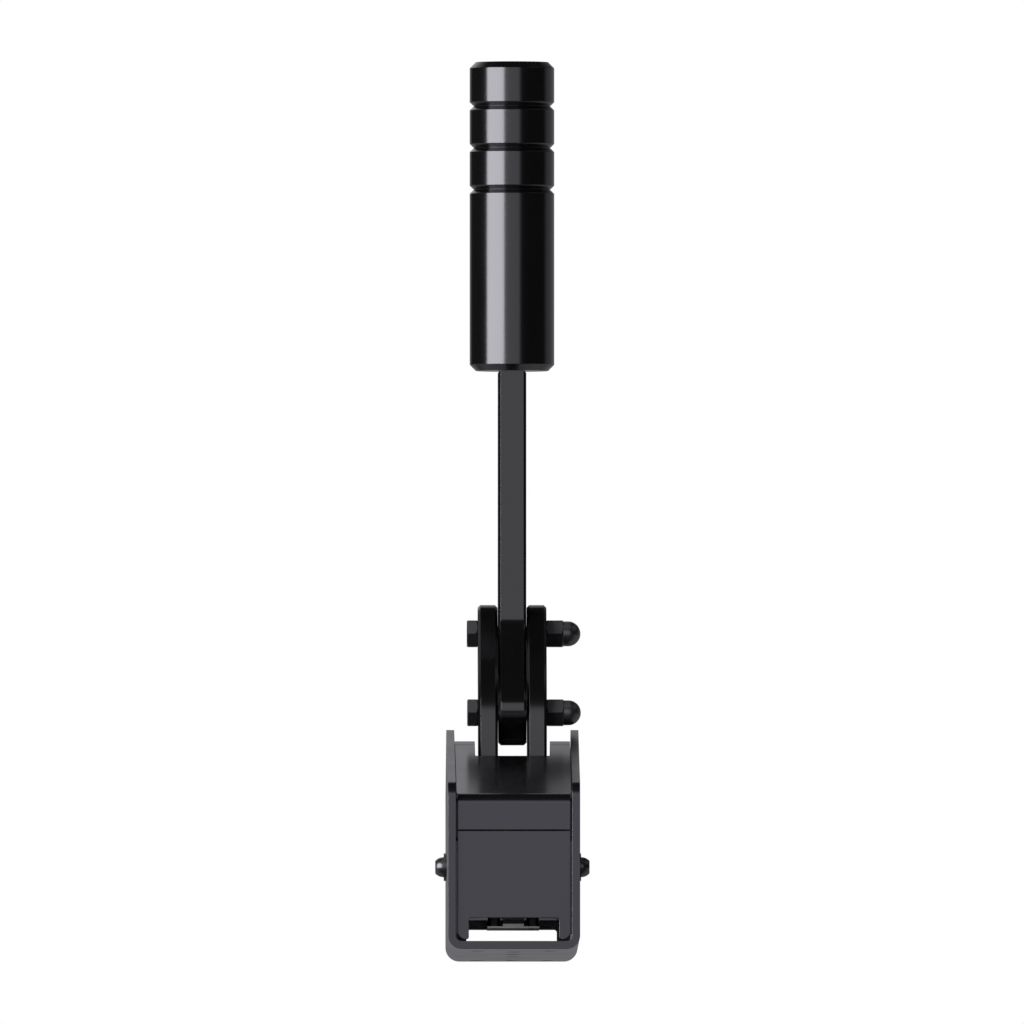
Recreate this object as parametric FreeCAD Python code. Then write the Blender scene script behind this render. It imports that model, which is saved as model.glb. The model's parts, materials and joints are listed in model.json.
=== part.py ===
import FreeCAD, Part
import math
import os

# Sim racing handbrake: a lever on two arms that pivots low in a folded steel channel
# and pushes a sprung plunger through a roller.
# Millimetres. X runs to the right, Y to the rear and Z up.
# The origin is the middle of the channel's underside. The driver pulls towards -Y.

# Base channel, folded from one sheet
base_length = 175.0
base_width = 50.0
sheet = 3.0
bend_inner = 2.2
wall_low = 62.5
wall_peak = 86.7
peak_y = 34.5
wall_corner = 6.0
peak_round = 12.0

# Mounting holes in the floor
mount_hole = 5.3
corner_spacing_x = 27.0
corner_spacing_y = 130.0
corner_centre_y = 8.5
front_pair_y = -27.0
front_pair_spacing = 33.0
rear_pair_y = 46.5
rear_pair_spacing = 48.0

# End plates between the walls, with the cable way at their foot
end_recess = 2.0
side_gap = 0.75
plate_sheet = 3.0
plate_lift = 0.7
plate_top = 44.7
plate_corner = 3.1
way_width = 34.2
way_top = 11.9
way_corner = 1.0
lug_width = 6.0
lug_depth = 7.5
lug_height = 8.0
lug_over_screw = 1.0
plate_lug_z = 28.0
plate_lug_height = 26.0
lip_width = 3.0
lip_bottom = 6.0

# Covers, folded from thinner sheet, with a seam beside the crest
seam = 0.5
cover_sheet = 2.0
cover_gap = 0.2
cover_bend = 4.0
shoulder_drop = 4.15
crest_drop = 4.5
crest_round = 6.0
cover_seam_y = 25.6
slot_front_y = 1.0
slot_rear_y = 50.0
slot_corner = 1.0
slot_clearance = 1.2
front_lugs_y = (-18.0,)
rear_lugs_y = (66.0,)
seam_lug_y = 17.0
seam_lug_depth = 7.5
seam_lug_z = 66.0

# Pivot of the arms
pivot_y = 27.5
pivot_z = 34.1
axle_d = 8.0
running = 0.05
bush_wall = 1.2
bush_flange_d = 14.0
bush_flange = 1.0
spacer_wall = 2.6
moving_gap = 0.3

# Arms
arm_thick = 7.5
arm_gap = 11.0
arm_end_r = 12.0
arm_top_r = 10.9
arm_bend_r = 39.0
arm_bend_drop = 8.1
arm_rear_bend_r = 25.0
arm_chamfer = 1.0
bolt_over_wall = 5.85
bolt_pitch = 41.25
lean_deg = 42.0
pull_deg = 16.0

# Lever bar and grip
bar_thick = 10.7
bar_width = 24.6
bar_end_past_bolt = 10.2
bar_end_r = 8.5
bar_front_lean_deg = 43.0
bar_fold_r = 8.5
bar_chamfer = 1.0
bar_reach = 99.5
grip_length = 116.9
grip_d = 32.0
grip_chamfer = 2.3
groove_width = 3.05
groove_first = 16.7
groove_pitch = 15.8
groove_count = 3
stud_d = 8.0
stud_in_bar = 22.0
stud_in_grip = 40.0

# Bolts through the arms and the bar, with cap nuts
bolt_d = 6.0
hole_clearance = 0.1
hex_flats = 10.0
hex_turn_deg = 30.0
hex_face_d = 9.5
hex_face_deg = 30.0
bolt_head = 4.1
nut_hex = 6.4
nut_length = 12.9
nut_dome_d = 9.45
nut_bore = 8.2
bolt_end_gap = 0.5

# Screws and washers on the pivot axis
side_screw_d = 4.0
side_screw_grip = 10.0
washer_d = 10.5
washer_thick = 1.0
dome_d = 7.6
dome_flat_d = 4.8
dome_height = 3.2
dome_rim = 0.3
dome_middle_d = 6.9
side_key = 2.5
side_key_depth = 2.1

# Countersunk screws in the walls
wall_screw_d = 3.0
wall_screw_head_d = 6.0
wall_screw_length = 8.0
wall_screw_key = 2.0
wall_screw_key_depth = 1.1
wall_screw_sunk = 0.1

# Roller between the arms
roller_rise = 18.0
roller_d = 14.0
roller_side_gap = 0.5
pin_d = 5.0
pin_inset = 0.3
hub_spacer_d = 14.0

# Plunger, its guide and its spring
rod_d = 8.0
rod_neck_d = 5.0
rod_neck = 8.5
nose_d = 9.0
nose_chamfer = 0.5
rod_chamfer = 1.0
drill_end = 0.5
flange_rear_y = 10.5
flange_thick = 3.0
flange_d = 22.0
block_front_y = -54.0
block_rear_y = -30.0
block_below = 10.0
block_under_cover = 1.2
block_web = 2.5
boss_wall = 1.0
guide_wall = 1.5
guide_flange_d = 15.0
guide_flange = 1.5
nut_flats = 13.0
rod_nut_thick = 6.5
rod_tail = 2.2
collar_d = 22.0
collar_thick = 4.0
collar_flat = 1.0
spring_d = 20.0
wire_d = 2.5
spring_turns = 6
wire_sides = 6
dead_pitch = 3.1
bumper_d = 13.5
bumper_clearance = 0.3
bumper_bore_gap = 0.3
bumper_seat_gap = 0.2

# Stop bar and pads behind the arms
pad_thick = 5.0
stop_under_cover = 4.0
stop_height = 12.0
pad_margin = 1.0
stop_thick = 5.0

# Controller board on its tray, with its processor, its two connectors and a row of small parts
board_width = 19.7
board_length = 33.0
board_front_y = -40.5
board_bottom = 9.1
board_thick = 0.8
tray_sheet = 1.5
tray_bottom = 13.2
tray_front_y = -45.0
tray_length = 42.0
tray_flange = 12.0
tray_bend = 2.0
standoff_flats = 4.0
standoff_inset = 2.6
processor_side = 7.0
processor_thick = 1.0
lead_connector_width = 9.0
lead_connector_length = 5.0
sensor_connector_width = 8.0
sensor_connector_length = 4.0
connector_height = 2.6
small_part_x = 6.5
small_part_width = 1.0
small_part_length = 2.0
small_part_height = 0.6
small_part_pitch = 4.0
small_part_count = 4

# Sensor board beside the right arm, and its magnet
magnet_d = 6.0
magnet_thick = 2.5
magnet_proud = 0.4
sensor_under_cover = 3.2
sensor_air = 1.1
sensor_height = 18.0
sensor_length = 14.0
sensor_board_thick = 1.6
chip_thick = 1.0
chip_length = 4.0
chip_height = 3.0
sensor_standoff_flats = 4.5
sensor_hole_share = 0.35

# Data socket in the rear plate
socket_z = 29.0
socket_width = 16.0
socket_height = 14.0
socket_depth = 15.0
collar_width = 13.0
collar_height = 10.0
mouth_width = 10.0
mouth_height = 7.0
mouth_depth = 13.0
window_gap = 0.2
socket_screw_d = 2.5
socket_screw_spacing = 22.0
socket_screw_head_d = 4.5
socket_screw_head = 1.4
socket_screw_key = 1.5
socket_screw_key_depth = 0.9
ear_width = 6.0
ear_depth = 3.0

# Cuts start this far outside the metal, and blind holes run this much deeper than what they take
over = 1.0
blind_spare = 0.5
print_tolerance = 0.1

# Values that follow from the ones above
half_inner = base_width / 2 - sheet
half_plate = half_inner - side_gap
end_face = base_length / 2 - end_recess
plate_back = end_face - plate_sheet
arm_inner = arm_gap / 2
arm_outer = arm_inner + arm_thick
lower_y = pivot_y
lower_z = wall_peak + bolt_over_wall
arm_bend_z = lower_z - arm_bend_drop
lean = math.radians(lean_deg)
upper_y = lower_y + bolt_pitch * math.sin(lean)
upper_z = lower_z + bolt_pitch * math.cos(lean)
grip_bottom = upper_z + bar_reach
cover_shoulder = wall_low - shoulder_drop
cover_crest = wall_peak - crest_drop
plunger_z = pivot_z + roller_rise
roller_front = pivot_y - roller_d / 2
travel = roller_rise * math.radians(pull_deg)
flange_front_y = flange_rear_y - flange_thick
collar_rear_y = block_rear_y + collar_thick
sensor_x = arm_outer + magnet_proud + sensor_air + chip_thick
stop_front_y = pivot_y + arm_end_r + moving_gap + pad_thick
nodes = {}

# Turns a drawing in (u, v) into the side plane (Y, Z) or the end plane (X, Z)
SIDE = FreeCAD.Rotation(FreeCAD.Vector(1, 1, 1), 120)
END = FreeCAD.Rotation(FreeCAD.Vector(1, 0, 0), 90)


def flat(u, v):
    """A point of a flat drawing."""
    return FreeCAD.Vector(u, v, 0)


def arc_between(start, tip, end):
    """The arc that leaves start towards tip and arrives at end, or None if it has no length."""
    chord = (start + end) * 0.5
    half = (end - start).Length / 2
    reach = (tip - start).Length
    if half < 1e-6 or reach - half < 1e-9:
        return None
    angle = math.acos(half / reach)
    middle = chord + (tip - chord) * (math.tan(angle / 2) / math.tan(angle))
    return Part.Arc(start, middle, end).toShape()


def closed_face(spans):
    """A face from spans (start, tip, end): each is an arc, and lines join one to the next."""
    edges = []
    for number, (start, tip, end) in enumerate(spans):
        if tip is not None:
            arc = arc_between(start, tip, end)
            if arc is not None:
                edges.append(arc)
        following = spans[(number + 1) % len(spans)][0]
        if (following - end).Length > 1e-6:
            edges.append(Part.LineSegment(end, following).toShape())
    return Part.Face(Part.Wire(edges))


def outline(corners):
    """A face from corners (u, v) or (u, v, r), where r rounds the corner."""
    spans = []
    count = len(corners)
    for number, corner in enumerate(corners):
        tip = flat(corner[0], corner[1])
        radius = corner[2] if len(corner) > 2 else 0
        before = corners[number - 1]
        after = corners[(number + 1) % count]
        to_before = (flat(before[0], before[1]) - tip).normalize()
        to_after = (flat(after[0], after[1]) - tip).normalize()
        reach = radius / math.tan(to_before.getAngle(to_after) / 2)
        start = tip + to_before * reach
        end = tip + to_after * reach
        spans.append((start, tip if radius else None, end))
    return closed_face(spans)


def belt(pulleys):
    """A face whose edge runs counterclockwise round circles (u, v, r); r below 0 bends it inwards."""
    lines = []
    count = len(pulleys)
    for number in range(count):
        u, v, r = pulleys[number]
        next_u, next_v, next_r = pulleys[(number + 1) % count]
        run = flat(next_u - u, next_v - v)
        turn = math.atan2(run.y, run.x) - math.asin((next_r - r) / run.Length)
        normal = flat(-math.sin(turn), math.cos(turn))
        lines.append((flat(u, v) - normal * r, flat(next_u, next_v) - normal * next_r, turn))
    spans = []
    for number in range(count):
        arrive = lines[number - 1]
        leave = lines[number]
        start = arrive[1]
        end = leave[0]
        bend = (leave[2] - arrive[2]) % (2 * math.pi)
        if pulleys[number][2] < 0:
            bend -= 2 * math.pi
        spans.extend(belt_arc(pulleys[number], start, end, bend))
    return closed_face(spans)


def belt_arc(pulley, start, end, bend):
    """The arc on one pulley, in pieces of less than a third of a turn."""
    u, v, r = pulley
    if abs(r) < 1e-9:
        return [(start, None, end)]
    centre = flat(u, v)
    steps = max(1, math.ceil(abs(bend) / math.radians(115)))
    first = math.atan2(start.y - v, start.x - u)
    arcs = []
    here = start
    for step in range(1, steps + 1):
        angle = first + bend * step / steps
        there = end if step == steps else centre + flat(math.cos(angle), math.sin(angle)) * abs(r)
        middle = first + bend * (step - 0.5) / steps
        tip = centre + flat(math.cos(middle), math.sin(middle)) * (abs(r) / math.cos(bend / steps / 2))
        arcs.append((here, tip, there))
        here = there
    return arcs


def side_plate(face, x_low, x_high):
    """A drawing in (Y, Z) made solid from x_low to x_high."""
    solid = face.extrude(FreeCAD.Vector(0, 0, x_high - x_low))
    solid.Placement = FreeCAD.Placement(FreeCAD.Vector(x_low, 0, 0), SIDE)
    return solid


def end_plate(face, y_low, y_high):
    """A drawing in (X, Z) made solid from y_low to y_high."""
    solid = face.extrude(FreeCAD.Vector(0, 0, y_high - y_low))
    solid.Placement = FreeCAD.Placement(FreeCAD.Vector(0, y_high, 0), END)
    return solid


def block(x_low, x_high, y_low, y_high, z_low, z_high):
    """A plain block between two corners."""
    return Part.makeBox(
        x_high - x_low, y_high - y_low, z_high - z_low, FreeCAD.Vector(x_low, y_low, z_low)
    )


def turned(profile, base, axis):
    """A turned piece: profile is (distance along the axis, radius), closed on the axis by itself."""
    points = [FreeCAD.Vector(radius, 0, along) for along, radius in profile]
    face = Part.Face(Part.makePolygon(points + [points[0]]))
    solid = face.revolve(FreeCAD.Vector(0, 0, 0), FreeCAD.Vector(0, 0, 1), 360)
    turn = FreeCAD.Rotation(FreeCAD.Vector(0, 0, 1), FreeCAD.Vector(*axis))
    solid.Placement = FreeCAD.Placement(FreeCAD.Vector(*base), turn)
    return solid


def rod(radius, start, axis, length):
    """A plain round bar or drill."""
    return Part.makeCylinder(radius, length, FreeCAD.Vector(*start), FreeCAD.Vector(*axis))


def ring(outer, inner, start, axis, length):
    """A round tube, given by radii."""
    return rod(outer, start, axis, length).cut(rod(inner, start, axis, length))


def hexagon(flats, start, axis, length, turn_deg=0.0):
    """A hexagonal bar of a width across flats, turned about its own axis."""
    radius = flats / math.sqrt(3)
    corners = []
    for number in range(6):
        angle = math.radians(60 * number + turn_deg)
        corners.append((radius * math.cos(angle), radius * math.sin(angle)))
    solid = outline(corners).extrude(FreeCAD.Vector(0, 0, length))
    turn = FreeCAD.Rotation(FreeCAD.Vector(0, 0, 1), FreeCAD.Vector(*axis))
    solid.Placement = FreeCAD.Placement(FreeCAD.Vector(*start), turn)
    return solid


def chamfer_outline(solid, x_low, x_high, size):
    """Breaks the edges that run round both faces of a plate that stands across X."""
    edges = []
    for edge in solid.Edges:
        box = edge.BoundBox
        on_low = abs(box.XMin - x_low) < 1e-4 and abs(box.XMax - x_low) < 1e-4
        on_high = abs(box.XMin - x_high) < 1e-4 and abs(box.XMax - x_high) < 1e-4
        if on_low or on_high:
            edges.append(edge)
    return solid.makeChamfer(size, edges)


def joined(shapes):
    """Several solids fused into one."""
    return shapes[0].multiFuse(shapes[1:]).removeSplitter()


def cover_height(y):
    """Height of the covers' outer face at y."""
    if y < peak_y:
        share = (y + end_face) / (peak_y + end_face)
    else:
        share = (end_face - y) / (end_face - peak_y)
    return cover_shoulder + (cover_crest - cover_shoulder) * share


def stop_height_z():
    """Middle height of the bar behind the arms."""
    rear = stop_front_y + stop_thick
    return cover_height(rear) - cover_sheet - stop_under_cover - stop_height / 2


def sensor_z():
    """Height of the sensor and of the magnet that passes it."""
    front = pivot_y - sensor_length / 2
    return cover_height(front) - cover_sheet - sensor_under_cover - sensor_height / 2


def cover_lug_z(y):
    """Middle height of a lug under a cover at y."""
    return cover_height(y) - cover_sheet - lug_height / 2 - lug_over_screw


def wall_screw_places():
    """Where the countersunk screws pass the walls: (y, z)."""
    places = []
    for side in (-1, 1):
        places.append((side * (plate_back - lug_depth / 2), plate_lug_z))
    for y in front_lugs_y + rear_lugs_y:
        places.append((y, cover_lug_z(y)))
    places.append(((block_front_y + block_rear_y) / 2, plunger_z))
    places.append((stop_front_y + stop_thick / 2, stop_height_z()))
    return places


def drilled_for_wall_screws(shape):
    """Cuts the shank holes of the wall screws where they enter this piece."""
    box = shape.BoundBox
    drills = []
    for y, z in wall_screw_places():
        if not (box.YMin < y < box.YMax and box.ZMin < z < box.ZMax):
            continue
        reach = wall_screw_length - sheet + blind_spare
        for side in (-1, 1):
            start = (side * half_inner, y, z)
            drills.append(rod(wall_screw_d / 2 + running, start, (-side, 0, 0), reach))
    return shape.cut(drills) if drills else shape


# Base channel
def base_channel():
    half = base_width / 2
    outer = sheet + bend_inner
    inner_low = sheet
    tall = wall_peak + over
    section = outline([
        (-half, 0, outer),
        (half, 0, outer),
        (half, tall),
        (half_inner, tall),
        (half_inner, inner_low, bend_inner),
        (-half_inner, inner_low, bend_inner),
        (-half_inner, tall),
        (-half, tall),
    ])
    channel = end_plate(section, -base_length / 2, base_length / 2)
    profile = outline([
        (-base_length / 2, -over),
        (base_length / 2, -over),
        (base_length / 2, wall_low, wall_corner),
        (peak_y, wall_peak, peak_round),
        (-base_length / 2, wall_low, wall_corner),
    ])
    channel = channel.common(side_plate(profile, -half - over, half + over))
    drills = []
    for side in (-1, 1):
        for end in (-1, 1):
            drills.append((side * corner_spacing_x / 2, corner_centre_y + end * corner_spacing_y / 2))
        drills.append((0, front_pair_y + side * front_pair_spacing / 2))
        drills.append((0, rear_pair_y + side * rear_pair_spacing / 2))
    cuts = [rod(mount_hole / 2, (x, y, -over), (0, 0, 1), sheet + 2 * over) for x, y in drills]
    pivot_hole = side_screw_d / 2 + hole_clearance
    cuts.append(rod(pivot_hole, (-half - over, pivot_y, pivot_z), (1, 0, 0), base_width + 2 * over))
    for y, z in wall_screw_places():
        for side in (-1, 1):
            cuts.append(countersink(side, y, z))
    return channel.cut(cuts)


def countersink(side, y, z):
    """The hole of one wall screw."""
    head = wall_screw_head_d / 2 + running
    shank = wall_screw_d / 2 + hole_clearance
    cone = head - shank
    end = sheet + over
    profile = [(-over, 0), (-over, head), (0, head), (cone, shank), (end, shank), (end, 0)]
    return turned(profile, (side * base_width / 2, y, z), (-side, 0, 0))


# End plates: the rear one is the front one turned round, with the socket's cut-out
def end_plate_blank(side):
    low = sheet + plate_lift
    face = outline([
        (-half_plate, low, plate_corner),
        (-way_width / 2, low, way_corner),
        (-way_width / 2, way_top, way_corner),
        (way_width / 2, way_top, way_corner),
        (way_width / 2, low, way_corner),
        (half_plate, low, plate_corner),
        (half_plate, plate_top),
        (-half_plate, plate_top),
    ])
    y_low, y_high = sorted((side * end_face, side * plate_back))
    pieces = [end_plate(face, y_low, y_high)]
    lug_low, lug_high = sorted((side * plate_back, side * (plate_back - lug_depth)))
    lug_bottom = plate_lug_z - plate_lug_height / 2
    lug_top = lug_bottom + plate_lug_height
    for edge in (-1, 1):
        left, right = sorted((edge * half_inner, edge * (half_inner - lug_width)))
        pieces.append(block(left, right, lug_low, lug_high, lug_bottom, lug_top))
        left, right = sorted((edge * half_inner, edge * (half_inner - lip_width)))
        pieces.append(block(left, right, lug_low, lug_high, lip_bottom, lug_bottom))
    return drilled_for_wall_screws(joined(pieces))


def front_plate():
    return end_plate_blank(-1)


def rear_plate():
    half_w = collar_width / 2 + window_gap
    half_h = collar_height / 2 + window_gap
    low = socket_z - half_h
    high = socket_z + half_h
    window = block(-half_w, half_w, plate_back - over, end_face + over, low, high)
    cuts = [window]
    for side in (-1, 1):
        start = (side * socket_screw_spacing / 2, plate_back - over, socket_z)
        cuts.append(rod(socket_screw_d / 2 + hole_clearance, start, (0, 1, 0), plate_sheet + 2 * over))
    return end_plate_blank(1).cut(cuts)


# Covers: one folded section from lip to crest, cut at the seam
def cover_section():
    lip = plate_top + seam
    inner_end = end_face - cover_sheet
    tilt_front = math.atan2(cover_crest - cover_shoulder, peak_y + end_face)
    tilt_rear = math.atan2(cover_crest - cover_shoulder, end_face - peak_y)
    drop_front = cover_sheet / math.cos(tilt_front)
    drop_rear = cover_sheet / math.cos(tilt_rear)
    rise_front = math.tan(tilt_front)
    rise_rear = math.tan(tilt_rear)
    inside_y = peak_y + (drop_rear - drop_front) / (rise_front + rise_rear)
    inside_z = cover_crest - drop_front - (peak_y - inside_y) * rise_front
    inner_bend = cover_bend - cover_sheet
    return outline([
        (-end_face, lip),
        (-inner_end, lip),
        (-inner_end, cover_shoulder + cover_sheet * rise_front - drop_front, inner_bend),
        (inside_y, inside_z, crest_round - cover_sheet),
        (inner_end, cover_shoulder + cover_sheet * rise_rear - drop_rear, inner_bend),
        (inner_end, lip),
        (end_face, lip),
        (end_face, cover_shoulder, cover_bend),
        (peak_y, cover_crest, crest_round),
        (-end_face, cover_shoulder, cover_bend),
    ])


def slotted_cover(y_low, y_high, lugs_y):
    """The part of the folded cover between two planes, with the arms' slot and the lugs under it."""
    half_cover = half_inner - cover_gap
    cover = side_plate(cover_section(), -half_cover, half_cover)
    cover = cover.common(block(-base_width, base_width, y_low, y_high, 0, 2 * wall_peak))
    slot_half = arm_outer + slot_clearance
    slot = block(-slot_half, slot_half, slot_front_y, slot_rear_y, pivot_z, 2 * wall_peak)
    corners = [edge for edge in slot.Edges if abs(edge.tangentAt(edge.FirstParameter).z) > 0.9]
    slot = slot.makeFillet(slot_corner, corners)
    cuts = [slot]
    for edge in (-1, 1):
        left, right = sorted((edge * half_plate, edge * half_inner))
        for end in (-1, 1):
            low, high = sorted((end * (end_face - cover_bend), end * (end_face + over)))
            cuts.append(block(left, right, low, high, 0, 2 * wall_peak))
    pieces = [cover.cut(cuts)]
    for y in lugs_y:
        z = cover_lug_z(y)
        front = y - lug_depth / 2
        rear = y + lug_depth / 2
        face = outline([
            (front, z - lug_height / 2),
            (rear, z - lug_height / 2),
            (rear, cover_height(rear) - cover_sheet),
            (front, cover_height(front) - cover_sheet),
        ])
        for edge in (-1, 1):
            left, right = sorted((edge * half_inner, edge * (half_inner - lug_width)))
            pieces.append(side_plate(face, left, right))
    return drilled_for_wall_screws(joined(pieces))


def front_cover():
    """The front cover, with a narrow lug on each side that closes the gap to the wall by the seam."""
    end_y = seam_lug_y + seam_lug_depth
    face = outline([
        (seam_lug_y, seam_lug_z),
        (end_y, seam_lug_z),
        (end_y, cover_height(end_y) - cover_sheet),
        (seam_lug_y, cover_height(seam_lug_y) - cover_sheet),
    ])
    pieces = [slotted_cover(-base_length, cover_seam_y - seam / 2, front_lugs_y)]
    for edge in (-1, 1):
        left, right = sorted((edge * half_inner, edge * (half_inner - lip_width)))
        pieces.append(side_plate(face, left, right))
    return joined(pieces)


def rear_cover():
    return slotted_cover(cover_seam_y + seam / 2, base_length, rear_lugs_y)


# Arms: straight up from the pivot, then leaning back
def arm_outline():
    rear_lean = lean - math.asin((arm_end_r - arm_top_r) / bolt_pitch)
    rear_edge = pivot_y + arm_end_r
    along_y = math.sin(rear_lean)
    along_z = math.cos(rear_lean)
    on_line_y = upper_y + arm_top_r * along_z
    on_line_z = upper_z - arm_top_r * along_y
    corner_z = on_line_z - (on_line_y - rear_edge) * along_z / along_y
    centre_z = corner_z - arm_rear_bend_r * math.tan(rear_lean / 2)
    return belt([
        (pivot_y, pivot_z, arm_end_r),
        (rear_edge + arm_rear_bend_r, centre_z, -arm_rear_bend_r),
        (upper_y, upper_z, arm_top_r),
        (pivot_y - arm_end_r + arm_bend_r, arm_bend_z, arm_bend_r),
    ])


def arm(side):
    x_low, x_high = sorted((side * arm_inner, side * arm_outer))
    plate = chamfer_outline(side_plate(arm_outline(), x_low, x_high), x_low, x_high, arm_chamfer)
    bolt_hole = bolt_d / 2 + hole_clearance
    holes = (
        (pivot_y, pivot_z, axle_d / 2 + running + bush_wall + running),
        (pivot_y, plunger_z, pin_d / 2 + running),
        (lower_y, lower_z, bolt_hole),
        (upper_y, upper_z, bolt_hole),
    )
    length = arm_thick + 2 * over
    cuts = [rod(radius, (x_low - over, y, z), (1, 0, 0), length) for y, z, radius in holes]
    if side > 0:
        pocket = (arm_outer + over, pivot_y, sensor_z())
        cuts.append(rod(magnet_d / 2 + running, pocket, (-1, 0, 0), magnet_thick - magnet_proud + over))
    return plate.cut(cuts)


def arm_bushes():
    """Flanged bushes: their flanges bear outside the arms."""
    shell = []
    inner = axle_d / 2 + running
    outer = inner + bush_wall
    flange = bush_flange_d / 2
    for side in (-1, 1):
        profile = [
            (arm_inner, inner),
            (arm_inner, outer),
            (arm_outer, outer),
            (arm_outer, flange),
            (arm_outer + bush_flange, flange),
            (arm_outer + bush_flange, inner),
        ]
        shell.append(turned(profile, (0, pivot_y, pivot_z), (side, 0, 0)))
    return Part.makeCompound(shell)


def hub_spacer():
    start = (-arm_inner, pivot_y, pivot_z)
    return ring(hub_spacer_d / 2, axle_d / 2 + 2 * running, start, (1, 0, 0), arm_gap)


def pivot_axle():
    """A turned axle between the walls, tapped at both ends for the side screws."""
    axle = rod(axle_d / 2, (-half_inner, pivot_y, pivot_z), (1, 0, 0), 2 * half_inner)
    cuts = []
    for side in (-1, 1):
        start = (side * half_inner, pivot_y, pivot_z)
        cuts.append(rod(side_screw_d / 2 + running, start, (-side, 0, 0), side_screw_grip + blind_spare))
    return axle.cut(cuts)


def axle_spacers():
    inner = axle_d / 2 + running
    start_x = arm_outer + bush_flange + moving_gap
    shell = []
    for side in (-1, 1):
        start = (side * start_x, pivot_y, pivot_z)
        shell.append(ring(inner + spacer_wall, inner, start, (side, 0, 0), half_inner - start_x))
    return Part.makeCompound(shell)


def side_washers():
    hole = side_screw_d / 2 + hole_clearance
    shell = []
    for side in (-1, 1):
        start = (side * base_width / 2, pivot_y, pivot_z)
        shell.append(ring(washer_d / 2, hole, start, (side, 0, 0), washer_thick))
    return Part.makeCompound(shell)


def side_screws():
    """Domed socket screws that hold the axle's ends."""
    under_head = base_width / 2 + washer_thick
    shell = []
    for side in (-1, 1):
        head = dome(under_head, side)
        shank_start = (side * under_head, pivot_y, pivot_z)
        shank_length = under_head - half_inner + side_screw_grip
        shank = rod(side_screw_d / 2, shank_start, (-side, 0, 0), shank_length)
        key_start = (side * (under_head + dome_height - side_key_depth), pivot_y, pivot_z)
        key = hexagon(side_key, key_start, (side, 0, 0), dome_height)
        shell.append(head.fuse(shank).cut(key).removeSplitter())
    return Part.makeCompound(shell)


def dome(under_head, side):
    """A screw head with a short straight rim, a rounded shoulder and a flat end."""
    big = dome_d / 2
    small = dome_flat_d / 2
    start = FreeCAD.Vector(big, 0, dome_rim)
    end = FreeCAD.Vector(small, 0, dome_height)
    middle = FreeCAD.Vector(dome_middle_d / 2, 0, (dome_rim + dome_height) / 2)
    edges = [
        Part.LineSegment(FreeCAD.Vector(0, 0, 0), FreeCAD.Vector(big, 0, 0)).toShape(),
        Part.LineSegment(FreeCAD.Vector(big, 0, 0), start).toShape(),
        Part.Arc(start, middle, end).toShape(),
        Part.LineSegment(end, FreeCAD.Vector(0, 0, dome_height)).toShape(),
        Part.LineSegment(FreeCAD.Vector(0, 0, dome_height), FreeCAD.Vector(0, 0, 0)).toShape(),
    ]
    solid = Part.Face(Part.Wire(edges)).revolve(FreeCAD.Vector(0, 0, 0), FreeCAD.Vector(0, 0, 1), 360)
    turn = FreeCAD.Rotation(FreeCAD.Vector(0, 0, 1), FreeCAD.Vector(side, 0, 0))
    solid.Placement = FreeCAD.Placement(FreeCAD.Vector(side * under_head, pivot_y, pivot_z), turn)
    return solid


def wall_screws():
    """Countersunk socket screws, flush with the walls' outer faces."""
    head = wall_screw_head_d / 2
    shank = wall_screw_d / 2
    cone = head - wall_screw_sunk - shank
    shell = []
    for y, z in wall_screw_places():
        for side in (-1, 1):
            base = (side * (base_width / 2 - wall_screw_sunk), y, z)
            profile = [
                (0, 0),
                (0, head - wall_screw_sunk),
                (cone, shank),
                (wall_screw_length, shank),
                (wall_screw_length, 0),
            ]
            screw = turned(profile, base, (-side, 0, 0))
            key = hexagon(wall_screw_key, base, (-side, 0, 0), wall_screw_key_depth)
            shell.append(screw.cut(key))
    return Part.makeCompound(shell)


# Lever bar: one flat bar with a dog-leg, drilled for both bolts and tapped in its upper end
def bar_end_corner(side):
    """The rounding of the bar's lower end: side is -1 for its front corner and 1 for its rear one."""
    across = side * (bar_width / 2 - bar_end_r)
    below = bar_end_past_bolt - bar_end_r
    y = lower_y + across * math.cos(lean) - below * math.sin(lean)
    z = lower_z - across * math.sin(lean) - below * math.cos(lean)
    return y, z, bar_end_r


def lever_bar():
    half = bar_width / 2
    front = upper_y - half
    front_lean = math.radians(bar_front_lean_deg)
    line_y = lower_y - half * math.cos(front_lean)
    line_z = lower_z + half * math.sin(front_lean)
    corner_z = line_z + (front - line_y) / math.tan(front_lean)
    fold_z = corner_z + bar_fold_r * math.tan(front_lean / 2)
    face = belt([
        bar_end_corner(-1),
        bar_end_corner(1),
        (upper_y, upper_z, half),
        (upper_y + half, grip_bottom, 0),
        (front, grip_bottom, 0),
        (front - bar_fold_r, fold_z, -bar_fold_r),
    ])
    bar = side_plate(face, -bar_thick / 2, bar_thick / 2)
    bar = chamfer_outline(bar, -bar_thick / 2, bar_thick / 2, bar_chamfer)
    cuts = []
    for y, z in ((lower_y, lower_z), (upper_y, upper_z)):
        cuts.append(rod(bolt_d / 2 + hole_clearance, (-bar_thick, y, z), (1, 0, 0), 2 * bar_thick))
    length = over + stud_in_bar + blind_spare
    cuts.append(rod(stud_d / 2 + running, (0, upper_y, grip_bottom + over), (0, 0, -1), length))
    return bar.cut(cuts)


def grip_stud():
    start = (0, upper_y, grip_bottom - stud_in_bar)
    return rod(stud_d / 2, start, (0, 0, 1), stud_in_bar + stud_in_grip)


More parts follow.
